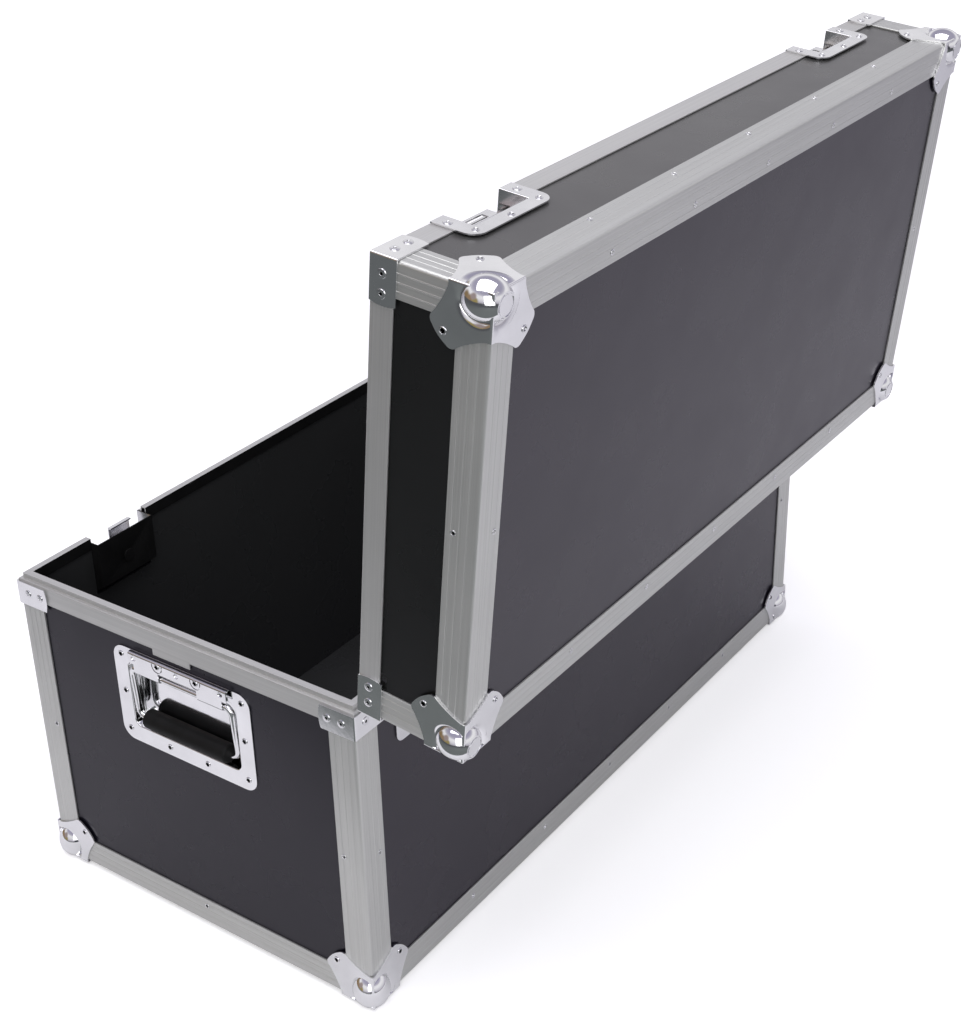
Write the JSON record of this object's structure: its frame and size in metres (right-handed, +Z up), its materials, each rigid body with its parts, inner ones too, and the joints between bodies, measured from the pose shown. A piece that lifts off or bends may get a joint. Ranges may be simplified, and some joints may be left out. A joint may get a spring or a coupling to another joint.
{
  "type": "flight case",
  "caption": "Flight case with an open hinged lid: black laminated plywood, aluminium edges, steel ball corners, butterfly latches and bail handles.",
  "frame": {"origin": "the middle of the footprint, level with the underside of the bottom edge angles, 4.4 mm above the facets that the case stands on", "axes": "+X along the case to the right end, +Y to the hinge side, +Z up; the latches are on the -Y side and the handles on the two X ends; the lid is stored open on its hinge stops"},
  "size_m": [0.849, 0.577, 0.7566],
  "materials": {
    "aluminium": "brushed, extruded",
    "zinc_steel": "bright zinc plated",
    "laminated_plywood": "black laminate on plywood, satin",
    "rubber": "matt black"
  },
  "bodies": {
    "base": {"base_bottom_panel": "laminated_plywood", "base_front_panel": "laminated_plywood", "base_back_panel": "laminated_plywood", "base_left_panel": "laminated_plywood", "base_right_panel": "laminated_plywood", "base_bottom_angle_frame": "aluminium", "base_angle_front_left": "aluminium", "base_angle_front_right": "aluminium", "base_angle_back_right": "aluminium", "base_angle_back_left": "aluminium", "base_rim": "aluminium", "base_rim_front": "aluminium", "base_ball_corner_front_left": "zinc_steel", "base_ball_corner_front_right": "zinc_steel", "base_ball_corner_back_right": "zinc_steel", "base_ball_corner_back_left": "zinc_steel", "base_brace_front_left": "zinc_steel", "base_brace_front_right": "zinc_steel", "base_brace_back_right": "zinc_steel", "base_brace_back_left": "zinc_steel", "handle_left_dish": "zinc_steel", "handle_right_dish": "zinc_steel", "latch_left_dish": "zinc_steel", "latch_right_dish": "zinc_steel", "hinge_left_base_leaf": "zinc_steel", "hinge_right_base_leaf": "zinc_steel"},
    "lid": {"lid_top_panel": "laminated_plywood", "lid_front_panel": "laminated_plywood", "lid_back_panel": "laminated_plywood", "lid_left_panel": "laminated_plywood", "lid_right_panel": "laminated_plywood", "lid_top_angle_frame": "aluminium", "lid_angle_front_left": "aluminium", "lid_angle_front_right": "aluminium", "lid_angle_back_right": "aluminium", "lid_angle_back_left": "aluminium", "lid_rim": "aluminium", "lid_rim_front": "aluminium", "lid_ball_corner_front_left": "zinc_steel", "lid_ball_corner_front_right": "zinc_steel", "lid_ball_corner_back_right": "zinc_steel", "lid_ball_corner_back_left": "zinc_steel", "lid_brace_front_left": "zinc_steel", "lid_brace_front_right": "zinc_steel", "lid_brace_back_right": "zinc_steel", "lid_brace_back_left": "zinc_steel", "latch_left_keeper": "zinc_steel", "latch_right_keeper": "zinc_steel", "hinge_left_lid_leaf": "zinc_steel", "hinge_right_lid_leaf": "zinc_steel"},
    "bail_left": {"handle_left_bail": "zinc_steel", "handle_left_grip": "rubber"},
    "bail_right": {"handle_right_bail": "zinc_steel", "handle_right_grip": "rubber"},
    "cam_left": {"latch_left_cam": "zinc_steel"},
    "wings_left": {"latch_left_wings": "zinc_steel"},
    "hook_left": {"latch_left_hook": "zinc_steel"},
    "cam_right": {"latch_right_cam": "zinc_steel"},
    "wings_right": {"latch_right_wings": "zinc_steel"},
    "hook_right": {"latch_right_hook": "zinc_steel"}
  },
  "joints": [
    {"name": "lid_hinge", "type": "hinge", "parent": "base", "child": "lid", "pos_m": [0, 0.2135, 0.332], "axis": [1, 0, 0], "range_deg": [0, 95.8]},
    {"name": "bail_left_swing", "type": "hinge", "parent": "base", "child": "bail_left", "pos_m": [-0.4145, 0, 0.28], "axis": [0, 1, 0], "range_deg": [0, 90]},
    {"name": "bail_right_swing", "type": "hinge", "parent": "base", "child": "bail_right", "pos_m": [0.4145, 0, 0.28], "axis": [0, -1, 0], "range_deg": [0, 90]},
    {"name": "cam_left_turn", "type": "hinge", "parent": "base", "child": "cam_left", "pos_m": [-0.291, -0.207, 0.3015], "axis": [0, -1, 0], "range_deg": [0, 180]},
    {"name": "wings_left_fold", "type": "hinge", "parent": "cam_left", "child": "wings_left", "pos_m": [-0.291, -0.2021, 0.2975], "axis": [1, 0, 0], "range_deg": [0, 90]},
    {"name": "hook_left_slide", "type": "slide", "parent": "base", "child": "hook_left", "axis": [0, 0.6139, -0.7894], "range_m": [0, 0.0057]},
    {"name": "cam_right_turn", "type": "hinge", "parent": "base", "child": "cam_right", "pos_m": [0.291, -0.207, 0.3015], "axis": [0, -1, 0], "range_deg": [0, 180]},
    {"name": "wings_right_fold", "type": "hinge", "parent": "cam_right", "child": "wings_right", "pos_m": [0.291, -0.2021, 0.2975], "axis": [1, 0, 0], "range_deg": [0, 90]},
    {"name": "hook_right_slide", "type": "slide", "parent": "base", "child": "hook_right", "axis": [0, 0.6139, -0.7894], "range_m": [0, 0.0057]}
  ],
  "couplings": [
    {"joint": "hook_left_slide", "follows": "cam_left_turn", "m_per_rad": 0.0018146},
    {"joint": "hook_right_slide", "follows": "cam_right_turn", "m_per_rad": 0.0018146}
  ]
}
